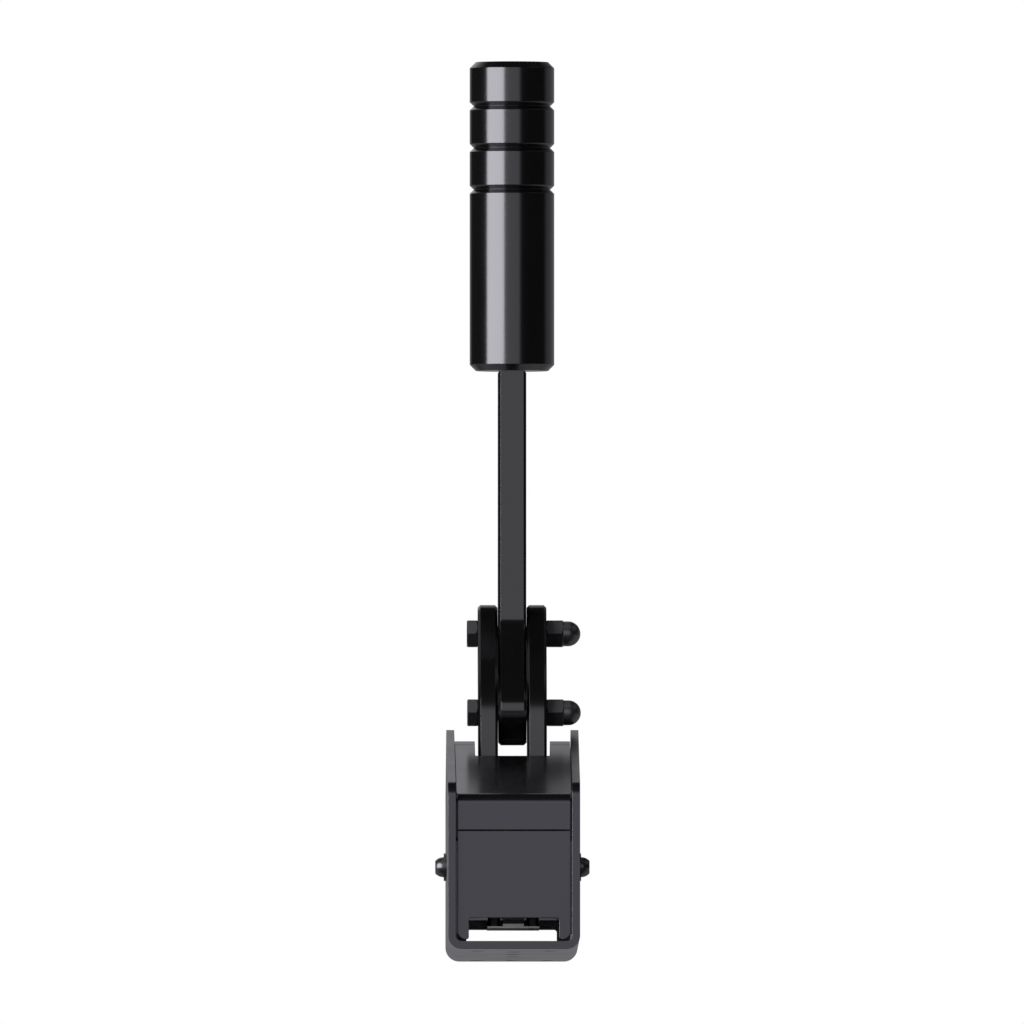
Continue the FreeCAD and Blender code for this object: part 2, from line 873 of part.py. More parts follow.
def grip():
    """A turned handle with chamfered ends, V grooves near its top and a blind bore for the stud."""
    radius = grip_d / 2
    bore = stud_d / 2 + running
    depth = groove_width / 2
    bore_end = stud_in_grip + blind_spare
    profile = [(0, bore), (0, radius - grip_chamfer), (grip_chamfer, radius)]
    for number in reversed(range(groove_count)):
        middle = grip_length - groove_first - number * groove_pitch
        profile.append((middle - groove_width / 2, radius))
        profile.append((middle, radius - depth))
        profile.append((middle + groove_width / 2, radius))
    profile.append((grip_length - grip_chamfer, radius))
    profile.append((grip_length, radius - grip_chamfer))
    profile.append((grip_length, 0))
    profile.append((bore_end, 0))
    profile.append((bore_end, bore))
    return turned(profile, (0, upper_y, grip_bottom), (0, 0, 1))


# Bolts and cap nuts that clamp the bar between the arms
def spanner_body(start, axis, length):
    """A hexagon with its corners turned down at both ends, one of them pointing forward."""
    body = hexagon(hex_flats, start, axis, length, hex_turn_deg)
    face = hex_face_d / 2
    widest = face + length / 2 / math.tan(math.radians(hex_face_deg))
    cones = turned([(0, 0), (0, face), (length / 2, widest), (length, face), (length, 0)], start, axis)
    return body.common(cones)


def lever_bolts():
    shell = []
    for y, z in ((lower_y, lower_z), (upper_y, upper_z)):
        start = (-arm_outer, y, z)
        head = spanner_body(start, (-1, 0, 0), bolt_head)
        shank = rod(bolt_d / 2, start, (1, 0, 0), 2 * arm_outer + nut_bore - bolt_end_gap)
        shell.append(head.fuse(shank).removeSplitter())
    return Part.makeCompound(shell)


def cap_nuts():
    shell = []
    radius = nut_dome_d / 2
    straight = nut_length - radius
    for y, z in ((lower_y, lower_z), (upper_y, upper_z)):
        start = (arm_outer, y, z)
        body = spanner_body(start, (1, 0, 0), nut_hex)
        neck = rod(radius, start, (1, 0, 0), straight)
        ball = Part.makeSphere(radius, FreeCAD.Vector(arm_outer + straight, y, z))
        bore = rod(bolt_d / 2 + running, start, (1, 0, 0), nut_bore)
        shell.append(joined([body, neck, ball]).cut(bore))
    return Part.makeCompound(shell)


# Roller and pin
def roller():
    half = arm_inner - roller_side_gap
    start = (-half, pivot_y, plunger_z)
    return ring(roller_d / 2, pin_d / 2 + running, start, (1, 0, 0), 2 * half)


def roller_pin():
    half = arm_outer - pin_inset
    return rod(pin_d / 2, (-half, pivot_y, plunger_z), (1, 0, 0), 2 * half)


# Plunger in its guide block
def guide_block():
    """A milled block between the walls: a boss round the rod, with a pocket on each side."""
    low = plunger_z - block_below
    high = cover_height(block_front_y) - cover_sheet - block_under_cover
    face = outline([
        (-half_inner, low, block_web),
        (half_inner, low, block_web),
        (half_inner, high, block_web),
        (-half_inner, high, block_web),
    ])
    body = end_plate(face, block_front_y, block_rear_y)
    boss = guide_flange_d / 2 + boss_wall
    screw_side = half_inner - lug_width
    cuts = []
    for side in (-1, 1):
        left, right = sorted((side * boss, side * screw_side))
        depth = block_rear_y - block_web * 2
        cuts.append(block(left, right, block_front_y - over, depth, low + block_web, high - block_web))
    start = (0, block_front_y - over, plunger_z)
    bore = rod_d / 2 + running + guide_wall + running
    cuts.append(rod(bore, start, (0, 1, 0), block_rear_y - block_front_y + 2 * over))
    return drilled_for_wall_screws(body.cut(cuts))


def guide_bush():
    inner = rod_d / 2 + running
    outer = inner + guide_wall
    length = block_rear_y - block_front_y
    profile = [
        (-guide_flange, inner),
        (-guide_flange, guide_flange_d / 2),
        (0, guide_flange_d / 2),
        (0, outer),
        (length, outer),
        (length, inner),
    ]
    return turned(profile, (0, block_front_y, plunger_z), (0, 1, 0))


def plunger_head():
    """A nose that meets the roller between the arms, and a flange that carries the spring."""
    nose_y = roller_front - moving_gap
    bore = rod_neck_d / 2 + running
    length = nose_y - flange_front_y
    profile = [
        (0, bore),
        (0, flange_d / 2),
        (flange_thick, flange_d / 2),
        (flange_thick, nose_d / 2),
        (length - nose_chamfer, nose_d / 2),
        (length, nose_d / 2 - nose_chamfer),
        (length, 0),
        (rod_neck + drill_end, 0),
        (rod_neck + drill_end, bore),
    ]
    return turned(profile, (0, flange_front_y, plunger_z), (0, 1, 0))


def rod_nut_rear_y():
    """Rear face of the nut that stops the plunger at rest."""
    return block_front_y - guide_flange - moving_gap


def plunger_rod():
    end = rod_nut_rear_y() - rod_nut_thick - rod_tail
    profile = [
        (0, 0),
        (0, rod_d / 2 - rod_chamfer),
        (rod_chamfer, rod_d / 2),
        (flange_front_y - end, rod_d / 2),
        (flange_front_y - end, rod_neck_d / 2),
        (flange_front_y - end + rod_neck, rod_neck_d / 2),
        (flange_front_y - end + rod_neck, 0),
    ]
    return turned(profile, (0, end, plunger_z), (0, 1, 0))


def rod_nut():
    start = (0, rod_nut_rear_y(), plunger_z)
    body = hexagon(nut_flats, start, (0, -1, 0), rod_nut_thick, 0)
    return body.cut(rod(rod_d / 2 + running, start, (0, -1, 0), rod_nut_thick))


def preload_collar():
    """The spring's fixed seat: a ring with flats for a spanner."""
    start = (0, block_rear_y, plunger_z)
    body = ring(collar_d / 2, bumper_d / 2 + bumper_seat_gap, start, (0, 1, 0), collar_thick)
    flat_at = collar_d / 2 - collar_flat
    low = plunger_z - collar_d
    high = plunger_z + collar_d
    cuts = []
    for side in (-1, 1):
        left, right = sorted((side * flat_at, side * collar_d))
        cuts.append(block(left, right, block_rear_y, collar_rear_y, low, high))
    return body.cut(cuts)


def end_bumper():
    """The elastomer that the flange meets at the end of the pull."""
    start = (0, block_rear_y, plunger_z)
    length = flange_front_y - travel - bumper_clearance - block_rear_y
    return ring(bumper_d / 2, rod_d / 2 + bumper_bore_gap, start, (0, 1, 0), length)


def spring_point(turn):
    """Point and direction of the wire's middle after a number of turns."""
    radius = (spring_d - wire_d) / 2
    first = collar_rear_y + wire_d / 2 + running
    last = flange_front_y - wire_d / 2 - moving_gap
    live_pitch = (last - first - 2 * dead_pitch) / (spring_turns - 2)
    if turn < 1:
        along = dead_pitch * turn
        pitch = dead_pitch
    elif turn > spring_turns - 1:
        along = last - first - dead_pitch * (spring_turns - turn)
        pitch = dead_pitch
    else:
        along = dead_pitch + live_pitch * (turn - 1)
        pitch = live_pitch
    if turn in (1, spring_turns - 1):
        pitch = (dead_pitch + live_pitch) / 2
    angle = 2 * math.pi * turn
    point = FreeCAD.Vector(radius * math.cos(angle), first + along, plunger_z + radius * math.sin(angle))
    sweep = 2 * math.pi * radius
    direction = FreeCAD.Vector(-sweep * math.sin(angle), pitch, sweep * math.cos(angle))
    return point, direction.normalize()


def biarc(start, start_way, end, end_way):
    """Two arcs that join two points and keep both directions."""
    run = end - start
    ways = start_way + end_way
    open_up = 2 * (1 - start_way.dot(end_way))
    lead = run.dot(ways)
    reach = (math.sqrt(lead * lead + open_up * run.dot(run)) - lead) / open_up
    middle = (start + end + (start_way - end_way) * reach) * 0.5
    first = arc_between(start, start + start_way * reach, middle)
    second = arc_between(middle, end - end_way * reach, end)
    return [first, second]


def return_spring():
    quarters = 4 * spring_turns
    edges = []
    for number in range(quarters):
        start, start_way = spring_point(number / 4)
        end, end_way = spring_point((number + 1) / 4)
        edges.extend(biarc(start, start_way, end, end_way))
    path = Part.Wire(edges)
    point, way = spring_point(0)
    turn = FreeCAD.Rotation(FreeCAD.Vector(0, 0, 1), way)
    corners = []
    for number in range(wire_sides):
        angle = 2 * math.pi * (number + 0.5) / wire_sides
        corners.append(point + turn.multVec(flat(math.cos(angle), math.sin(angle)) * (wire_d / 2)))
    section = Part.makePolygon(corners + [corners[0]])
    pipe = Part.BRepOffsetAPI.MakePipeShell(path)
    pipe.add(section)
    pipe.build()
    pipe.makeSolid()
    return pipe.shape()


def spring_gap():
    """The wire's least gap to itself, measured between points at least half a turn apart."""
    steps = 24
    points = [spring_point(number / steps)[0] for number in range(steps * spring_turns + 1)]
    least = None
    for number, point in enumerate(points):
        for other in points[number + steps // 2:]:
            gap = (other - point).Length - wire_d
            if least is None or gap < least:
                least = gap
    return least


# Stop bar with two pads behind the arms
def stop_bar():
    low = stop_height_z() - stop_height / 2
    bar = block(-half_inner, half_inner, stop_front_y, stop_front_y + stop_thick, low, low + stop_height)
    return drilled_for_wall_screws(bar)


def rest_pads():
    low = stop_height_z() - stop_height / 2 + pad_margin
    high = low + stop_height - 2 * pad_margin
    shell = []
    for side in (-1, 1):
        left, right = sorted((side * arm_inner, side * arm_outer))
        shell.append(block(left, right, stop_front_y - pad_thick, stop_front_y, low, high))
    return Part.makeCompound(shell)


# Controller board hung under its tray
def board_tray():
    top = tray_bottom + tray_flange
    inside = half_inner - tray_sheet
    floor = tray_bottom + tray_sheet
    face = outline([
        (-half_inner, tray_bottom, tray_bend),
        (half_inner, tray_bottom, tray_bend),
        (half_inner, top),
        (inside, top),
        (inside, floor, tray_bend - tray_sheet),
        (-inside, floor, tray_bend - tray_sheet),
        (-inside, top),
        (-half_inner, top),
    ])
    return end_plate(face, tray_front_y, tray_front_y + tray_length)


def board_corners():
    half = board_width / 2 - standoff_inset
    for side in (-1, 1):
        for y in (board_front_y + standoff_inset, board_front_y + board_length - standoff_inset):
            yield side * half, y


def board_standoffs():
    low = board_bottom + board_thick
    length = tray_bottom - low
    return Part.makeCompound(
        [hexagon(standoff_flats, (x, y, low), (0, 0, 1), length) for x, y in board_corners()]
    )


def controller_board():
    """The board with its processor, two connectors and a row of small parts on its upper face."""
    top = board_bottom + board_thick
    rear = board_front_y + board_length
    middle = (board_front_y + rear) / 2

    def on_board(x, y, width, length, low, high):
        return block(x - width / 2, x + width / 2, y - length / 2, y + length / 2, low, high)

    lead_y = rear - lead_connector_length / 2
    sensor_y = board_front_y + sensor_connector_length / 2
    pieces = [
        on_board(0, middle, board_width, board_length, board_bottom, top),
        on_board(0, middle, processor_side, processor_side, top, top + processor_thick),
        on_board(0, lead_y, lead_connector_width, lead_connector_length, top, top + connector_height),
        on_board(0, sensor_y, sensor_connector_width, sensor_connector_length, top, top + connector_height),
    ]
    first = middle - small_part_pitch * (small_part_count - 1) / 2
    for number in range(small_part_count):
        y = first + small_part_pitch * number
        pieces.append(
            on_board(small_part_x, y, small_part_width, small_part_length, top, top + small_part_height)
        )
    return joined(pieces)


# Sensor board on two standoffs from the right wall, facing the magnet in the arm
def sensor_board():
    z = sensor_z()
    low_y = pivot_y - sensor_length / 2
    high_y = pivot_y + sensor_length / 2
    back = sensor_x + sensor_board_thick
    board = block(sensor_x, back, low_y, high_y, z - sensor_height / 2, z + sensor_height / 2)
    chip = block(
        sensor_x - chip_thick,
        sensor_x,
        pivot_y - chip_length / 2,
        pivot_y + chip_length / 2,
        z - chip_height / 2,
        z + chip_height / 2,
    )
    return joined([board, chip])


def sensor_standoffs():
    start_x = sensor_x + sensor_board_thick
    shell = []
    for side in (-1, 1):
        z = sensor_z() + side * sensor_height * sensor_hole_share
        start = (start_x, pivot_y, z)
        shell.append(hexagon(sensor_standoff_flats, start, (1, 0, 0), half_inner - start_x))
    return Part.makeCompound(shell)


def sensor_magnet():
    start = (arm_outer + magnet_proud, pivot_y, sensor_z())
    return rod(magnet_d / 2, start, (-1, 0, 0), magnet_thick)


# Data socket and its two screws
def data_socket():
    half_w = socket_width / 2
    half_h = socket_height / 2
    body = block(
        -half_w, half_w, plate_back - socket_depth, plate_back, socket_z - half_h, socket_z + half_h
    )
    collar = block(
        -collar_width / 2,
        collar_width / 2,
        plate_back,
        end_face,
        socket_z - collar_height / 2,
        socket_z + collar_height / 2,
    )
    ears = block(
        -(socket_screw_spacing + ear_width) / 2,
        (socket_screw_spacing + ear_width) / 2,
        plate_back - ear_depth,
        plate_back,
        socket_z - ear_width / 2,
        socket_z + ear_width / 2,
    )
    mouth = block(
        -mouth_width / 2,
        mouth_width / 2,
        end_face - mouth_depth,
        end_face + over,
        socket_z - mouth_height / 2,
        socket_z + mouth_height / 2,
    )
    cuts = [mouth]
    for side in (-1, 1):
        start = (side * socket_screw_spacing / 2, plate_back + over, socket_z)
        cuts.append(rod(socket_screw_d / 2 + running, start, (0, -1, 0), ear_depth + 2 * over))
    return joined([body, collar, ears]).cut(cuts)


def socket_screws():
    shell = []
    for side in (-1, 1):
        base = (side * socket_screw_spacing / 2, end_face, socket_z)
        head = rod(socket_screw_head_d / 2, base, (0, 1, 0), socket_screw_head)
        shank = rod(socket_screw_d / 2, base, (0, -1, 0), plate_sheet + ear_depth)
        key_start = (base[0], end_face + socket_screw_head - socket_screw_key_depth, socket_z)
        key = hexagon(socket_screw_key, key_start, (0, 1, 0), socket_screw_head)
        shell.append(head.fuse(shank).cut(key).removeSplitter())
    return Part.makeCompound(shell)


nodes["base_channel"] = base_channel()
nodes["front_plate"] = front_plate()
nodes["rear_plate"] = rear_plate()
nodes["front_cover"] = front_cover()
nodes["rear_cover"] = rear_cover()
nodes["wall_screws"] = wall_screws()
nodes["pivot_axle"] = pivot_axle()
nodes["axle_spacers"] = axle_spacers()
nodes["side_washers"] = side_washers()
nodes["side_screws"] = side_screws()
nodes["arm_left"] = arm(-1)
nodes["arm_right"] = arm(1)
nodes["arm_bushes"] = arm_bushes()
nodes["hub_spacer"] = hub_spacer()
nodes["lever_bar"] = lever_bar()
nodes["grip_stud"] = grip_stud()
nodes["grip"] = grip()
nodes["lever_bolts"] = lever_bolts()
nodes["cap_nuts"] = cap_nuts()
nodes["roller_pin"] = roller_pin()
nodes["roller"] = roller()
nodes["guide_block"] = guide_block()
nodes["guide_bush"] = guide_bush()
nodes["plunger_head"] = plunger_head()
nodes["plunger_rod"] = plunger_rod()
nodes["rod_nut"] = rod_nut()
nodes["preload_collar"] = preload_collar()
nodes["end_bumper"] = end_bumper()
nodes["return_spring"] = return_spring()
nodes["stop_bar"] = stop_bar()
nodes["rest_pads"] = rest_pads()
nodes["board_tray"] = board_tray()
nodes["board_standoffs"] = board_standoffs()
nodes["controller_board"] = controller_board()
nodes["sensor_board"] = sensor_board()
nodes["sensor_standoffs"] = sensor_standoffs()
nodes["sensor_magnet"] = sensor_magnet()
nodes["data_socket"] = data_socket()
nodes["socket_screws"] = socket_screws()

os.makedirs("parts", exist_ok=True)
total = 0
for name, shape in nodes.items():
    shape.exportStep("parts/%s.step" % name)
    facets = len(shape.tessellate(print_tolerance)[1])
    total += facets
    box = shape.BoundBox
    print("%-17s solids %2d  valid %s  volume %9.1f  facets %5d  x %.1f..%.1f y %.1f..%.1f z %.1f..%.1f" % (
        name, len(shape.Solids), shape.isValid(), shape.Volume, facets,
        box.XMin, box.XMax, box.YMin, box.YMax, box.ZMin, box.ZMax))
print("facets in all", total)
print("least gap in the spring %.2f mm" % spring_gap())
print("plunger travel %.2f mm, roller centre moves %.2f mm" % (
    travel, roller_rise * math.sin(math.radians(pull_deg))))
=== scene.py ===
# %% [markdown]
# # A sim racing handbrake, dressed for its portrait
# The working parts are already built at their real size and come in as a fixed frame. What is left
# is what a photographer and a finisher would do: surfaces, small trim, light and camera. The frame
# is loaded first, because every later step asks it where a part is.

# %% Load the frame
import json
import math

import bpy
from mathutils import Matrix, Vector

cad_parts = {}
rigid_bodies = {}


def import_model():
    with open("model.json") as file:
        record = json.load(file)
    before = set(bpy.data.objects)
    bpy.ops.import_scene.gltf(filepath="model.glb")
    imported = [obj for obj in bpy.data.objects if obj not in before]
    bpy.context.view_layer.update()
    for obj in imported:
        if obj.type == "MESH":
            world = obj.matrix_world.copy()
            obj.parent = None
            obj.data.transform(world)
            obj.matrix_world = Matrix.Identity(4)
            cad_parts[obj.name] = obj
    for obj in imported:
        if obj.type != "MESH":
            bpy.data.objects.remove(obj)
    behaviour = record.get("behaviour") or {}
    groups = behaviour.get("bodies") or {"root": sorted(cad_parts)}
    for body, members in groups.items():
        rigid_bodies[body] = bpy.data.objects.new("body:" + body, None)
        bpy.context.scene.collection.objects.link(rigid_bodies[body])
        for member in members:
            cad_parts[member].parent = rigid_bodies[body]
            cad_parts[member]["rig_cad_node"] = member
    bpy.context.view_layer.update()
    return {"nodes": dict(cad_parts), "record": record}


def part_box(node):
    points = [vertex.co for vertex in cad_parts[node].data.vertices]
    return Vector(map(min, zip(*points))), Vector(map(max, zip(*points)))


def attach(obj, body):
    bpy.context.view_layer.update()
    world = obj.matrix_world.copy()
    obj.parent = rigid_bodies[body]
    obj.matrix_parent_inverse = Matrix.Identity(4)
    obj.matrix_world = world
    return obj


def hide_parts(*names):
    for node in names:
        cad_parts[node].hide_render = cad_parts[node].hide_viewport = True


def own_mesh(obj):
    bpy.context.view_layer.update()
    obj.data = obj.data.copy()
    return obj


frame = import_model()
nodes = frame["nodes"]
MM = 0.001

# %% [markdown]
# ## Colour management
# The Standard view shows a colour as it is written, which suits a product on white.

# %% Plain colours
bpy.context.scene.view_settings.view_transform = "Standard"
print("view:", bpy.context.scene.view_settings.view_transform)

# %% [markdown]
# ## The camera
# The photographer stood far away, a little to the left and a little low, so lines that run to the
# rear hardly shrink. A parallel camera gives the same picture without a very long lens. Its frame
# is a square, so the scale is the number of real metres across the picture.

# %% Camera
PIXELS = 1024
PIXELS_PER_MM = 2.6425
CAMERA_TURN = math.radians(0.322)
CAMERA_RISE = math.radians(1.584)
CAMERA_AWAY = 3.0
PICTURE_CENTRE = Vector((-0.30, 0.0, 167.8)) * MM

look = Vector((
    math.sin(CAMERA_TURN) * math.cos(CAMERA_RISE),
    math.cos(CAMERA_TURN) * math.cos(CAMERA_RISE),
    math.sin(CAMERA_RISE),
))
bpy.ops.object.camera_add(location=PICTURE_CENTRE - look * CAMERA_AWAY)
camera = bpy.context.object
camera.name = "camera"
camera.rotation_mode = "QUATERNION"
camera.rotation_quaternion = look.to_track_quat("-Z", "Y")
camera.data.type = "ORTHO"
camera.data.ortho_scale = PIXELS / PIXELS_PER_MM * MM
camera.data.clip_start = 0.01
camera.data.clip_end = 30.0
bpy.context.scene.camera = camera
print("picture is", round(camera.data.ortho_scale, 4), "m wide")

# %% [markdown]
# ## Wiring shaders by hand
# A material is a small circuit. Two helpers keep it short: one adds a node and sets its constants,
# the other joins an output to an input. Constants sit directly on the sockets.

# %% Helpers for node trees
def add_node(tree, kind, settings=None, **sockets):
    """Adds a node, sets its properties and the values of its input sockets."""
    node = tree.nodes.new(kind)
    for key, value in (settings or {}).items():
        setattr(node, key, value)
    for key, value in sockets.items():
        node.inputs[key.replace("_", " ")].default_value = value
    return node


def join(tree, source, output, target, socket):
    """Links an output of one node to an input of another."""
    tree.links.new(source.outputs[output], target.inputs[socket])


def calculate(tree, operation, first, second=None):
    """A math node. Each input is a number or a (node, output) pair."""
    node = add_node(tree, "ShaderNodeMath", {"operation": operation})
    for number, value in enumerate((first, second)):
        if value is None:
            continue
        if isinstance(value, tuple):
            tree.links.new(value[0].outputs[value[1]], node.inputs[number])
        else:
            node.inputs[number].default_value = value
    return node


def remap(tree, source, output, low, high, to_low=0.0, to_high=1.0, smooth=False):
    """Stretches the range low to high of an output onto another range."""
    course = "SMOOTHSTEP" if smooth else "LINEAR"
    node = add_node(tree, "ShaderNodeMapRange", {"interpolation_type": course})
    join(tree, source, output, node, "Value")
    ends = {"From Min": low, "From Max": high, "To Min": to_low, "To Max": to_high}
    for socket, value in ends.items():
        node.inputs[socket].default_value = value
    return node


def times(tree, first, second):
    """The product of the first outputs of two nodes."""
    return calculate(tree, "MULTIPLY", (first, 0), (second, 0))


def larger(tree, first, second):
    """The larger of the first outputs of two nodes."""
    return calculate(tree, "MAXIMUM", (first, 0), (second, 0))


def mix_shaders(tree, share, output, first, second):
    """The first shader where the share is 0 and the second where it is 1."""
    node = add_node(tree, "ShaderNodeMixShader")
    join(tree, share, output, node, 0)
    join(tree, first, 0, node, 1)
    join(tree, second, 0, node, 2)
    return node


print("helpers ready")

# %% [markdown]
# ## The white surroundings
# The photo has a pure white ground. The world is plain white for rays from the camera and for
# reflections, and a softer grey for the light that falls on the object, so nothing is overexposed.

# %% World
WORLD_SOFT_LIGHT = 0.62

world = bpy.data.worlds.new("studio")
bpy.context.scene.world = world
world.use_nodes = True
sky = world.node_tree
sky.nodes.clear()
path = add_node(sky, "ShaderNodeLightPath")
mirror_rays = calculate(sky, "ADD", (path, "Is Glossy Ray"), (path, "Is Transmission Ray"))
seen = calculate(sky, "ADD", (path, "Is Camera Ray"), (mirror_rays, 0))
soft = add_node(sky, "ShaderNodeBackground", Color=(1, 1, 1, 1), Strength=WORLD_SOFT_LIGHT)
white = add_node(sky, "ShaderNodeBackground", Color=(1, 1, 1, 1), Strength=1.0)
pick = mix_shaders(sky, seen, 0, soft, white)
out = add_node(sky, "ShaderNodeOutputWorld")
join(sky, pick, 0, out, "Surface")
world.cycles.sampling_method = "NONE"
print("world set, soft light", WORLD_SOFT_LIGHT)

# %% [markdown]
# ## The floor
# The object stands on a pale floor that takes its shadow. The camera sits a little below the
# base's underside, so the floor is clear from below. Far from the object it melts into the white
# ground. It lies a hair under the base, and reflections look past it to the studio.

# %% Floor
FLOOR_DROP = 0.4 * MM
FLOOR_RADIUS = 8.0
FLOOR_CORNERS = 96
FLOOR_GREY = (0.86, 0.86, 0.86, 1)
SHADOW_NEAR = 0.22
SHADOW_FAR = 1.3

bpy.ops.object.select_all(action="DESELECT")
bpy.ops.mesh.primitive_circle_add(
    vertices=FLOOR_CORNERS, radius=FLOOR_RADIUS, fill_type="NGON", location=(0, 0, -FLOOR_DROP)
)
floor = bpy.context.object
floor.name = "floor"
for ray in ("glossy", "transmission", "shadow"):
    setattr(floor, "visible_" + ray, False)

pale = bpy.data.materials.new("pale_floor")
pale.use_nodes = True
tree = pale.node_tree
tree.nodes.clear()
place = add_node(tree, "ShaderNodeTexCoord")
away = add_node(tree, "ShaderNodeVectorMath", {"operation": "LENGTH"})
join(tree, place, "Object", away, 0)
fade = remap(tree, away, "Value", SHADOW_NEAR, SHADOW_FAR, smooth=True)
path = add_node(tree, "ShaderNodeLightPath")
shown = calculate(tree, "MULTIPLY", (path, "Is Camera Ray"), (fade, "Result"))
matt = add_node(tree, "ShaderNodeBsdfDiffuse", Color=FLOOR_GREY)
glow = add_node(tree, "ShaderNodeEmission", Color=(1, 1, 1, 1), Strength=1.0)
ground = mix_shaders(tree, shown, 0, matt, glow)
clear = add_node(tree, "ShaderNodeBsdfTransparent")
faces = add_node(tree, "ShaderNodeNewGeometry")
through = mix_shaders(tree, faces, "Backfacing", ground, clear)
out = add_node(tree, "ShaderNodeOutputMaterial")
join(tree, through, 0, out, "Surface")
floor.data.materials.append(pale)
print("floor lies at", -FLOOR_DROP, "m")

# %% [markdown]
# ## One soft lamp
# A black, shiny object is drawn by what it mirrors. The long bright stripe down the left of the
# grip is one tall softbox to the left of the camera. Seen from the object, it spans about 22 to 74
# degrees off the camera's axis. It hangs from a little below the base upwards, so that a side wall
# seen from above mirrors a dark card and stays black. Its power follows from its size, so its
# brightness stays the same when its edges are moved.

# %% Softbox
BOX_FROM = 22.0
BOX_TO = 73.5
BOX_AWAY = 2.0
BOX_LOW = -0.15
BOX_HIGH = 1.65
BOX_GLOW = 9.4

box_middle = math.radians((BOX_FROM + BOX_TO) / 2)
box_width = 2 * BOX_AWAY * math.tan(math.radians((BOX_TO - BOX_FROM) / 2))
box_height = BOX_HIGH - BOX_LOW
towards_object = Vector((math.sin(box_middle), math.cos(box_middle), 0))
box_place = -towards_object * BOX_AWAY + Vector((0, 0, (BOX_LOW + BOX_HIGH) / 2))
bpy.ops.object.light_add(type="AREA", location=box_place)
softbox = bpy.context.object
softbox.name = "softbox"
softbox.data.shape = "RECTANGLE"
softbox.data.size = box_width
softbox.data.size_y = box_height
softbox.data.energy = BOX_GLOW * math.pi * box_width * box_height
softbox.rotation_mode = "QUATERNION"
softbox.rotation_quaternion = towards_object.to_track_quat("-Z", "Y")
softbox.visible_camera = False
print("softbox", round(box_width, 2), "by", round(box_height, 2), "m")
print("power", round(softbox.data.energy), "W")

# %% [markdown]
# ## Dark cards
# Without them the whole object would mirror white and look grey. Photographers hang black cards
# round a black product. Here they are one big ball, seen in reflections only. It is clear where
# the cards leave a window to the white in front, and the window's edges fade, as cloth does.

# %% Card ball
BALL_RADIUS = 2.6
BALL_CENTRE_Z = 0.15
BALL_SEGMENTS = 72
BALL_RINGS = 36

bpy.ops.object.select_all(action="DESELECT")
bpy.ops.mesh.primitive_uv_sphere_add(
    segments=BALL_SEGMENTS,
    ring_count=BALL_RINGS,
    radius=BALL_RADIUS,
    location=(0, 0, BALL_CENTRE_Z),
)
cards = bpy.context.object
cards.name = "card_ball"
for ray in ("camera", "diffuse", "transmission", "shadow", "volume_scatter"):
    setattr(cards, "visible_" + ray, False)
print("card ball has", len(cards.data.polygons), "faces")

# %% [markdown]
# The tones go by two angles, both in degrees: the bearing round the object, with 0 towards the
# camera and minus to the left, and the height above the horizon. `ramp` fades a tone in along one
# of them, and `between` fades it in and out again.

# %% Two angles
card = bpy.data.materials.new("card_tones")
card.use_nodes = True
tree = card.node_tree
tree.nodes.clear()


def ramp(source, start, stop):
    """0 at the start angle and 1 at the stop angle, both in degrees."""
    return remap(tree, source, 0, math.radians(start), math.radians(stop), smooth=True)


def between(source, low, high, fade):
    """1 between two angles, fading to 0 outside them."""
    rise = ramp(source, low - fade, low + fade)
    fall = ramp(source, high + fade, high - fade)
    return times(tree, rise, fall)


place = add_node(tree, "ShaderNodeTexCoord")
split = add_node(tree, "ShaderNodeSeparateXYZ")
join(tree, place, "Object", split, 0)
towards_camera = calculate(tree, "MULTIPLY", (split, "Y"), -1.0)
bearing = calculate(tree, "ARCTAN2", (split, "X"), (towards_camera, 0))
either_side = calculate(tree, "ABSOLUTE", (bearing, 0))
level = calculate(tree, "DIVIDE", (split, "Z"), BALL_RADIUS)
height = calculate(tree, "ARCSINE", (level, 0))
print("angles ready")

# %% [markdown]
# The window lies in front and reaches further up than down. The flat front of the part mirrors it,
# which makes that front an even dark grey. Its soft edges show where the grip and the rounded
# corners turn away from it.

# %% The window in front
WINDOW_LEFT = -21.0
WINDOW_RIGHT = 22.0
WINDOW_LOW = -11.0
WINDOW_HIGH = 30.0
WINDOW_FADE = 3.0

across_window = between(bearing, WINDOW_LEFT, WINDOW_RIGHT, WINDOW_FADE)
up_window = between(height, WINDOW_LOW, WINDOW_HIGH, WINDOW_FADE)
window = times(tree, across_window, up_window)
print("window", WINDOW_RIGHT - WINDOW_LEFT, "by", WINDOW_HIGH - WINDOW_LOW, "degrees")

# %% [markdown]
# Behind the object the cards are lit. Low down they are dark grey and give upright edges a faint
# rim. Higher up they are brighter, and the slope of the cover mirrors them at a flat angle. That
# part is strongest right behind, weaker towards both sides and weaker on the right, and it ends
# before the top. `even` is 1 low down, where the tone is the same on all sides.

# %% Light from behind
BACK_TONE_LOW = 0.30
BACK_TONE_HIGH = 0.88
HIGH_FROM = 10.0
HIGH_TO = 20.0
RIGHT_BACK = (96.0, 112.0)
LEFT_BACK_LOW = (-144.0, -154.0)
LEFT_BACK_HIGH = (-106.0, -116.0)
ROOF_FADE = (55.0, 40.0)
MIDDLE_FADE = (135.0, 165.0)
SIDE_SHARE = 0.30
RIGHT_SHARE = 0.2
RIGHT_FADE = 0.25

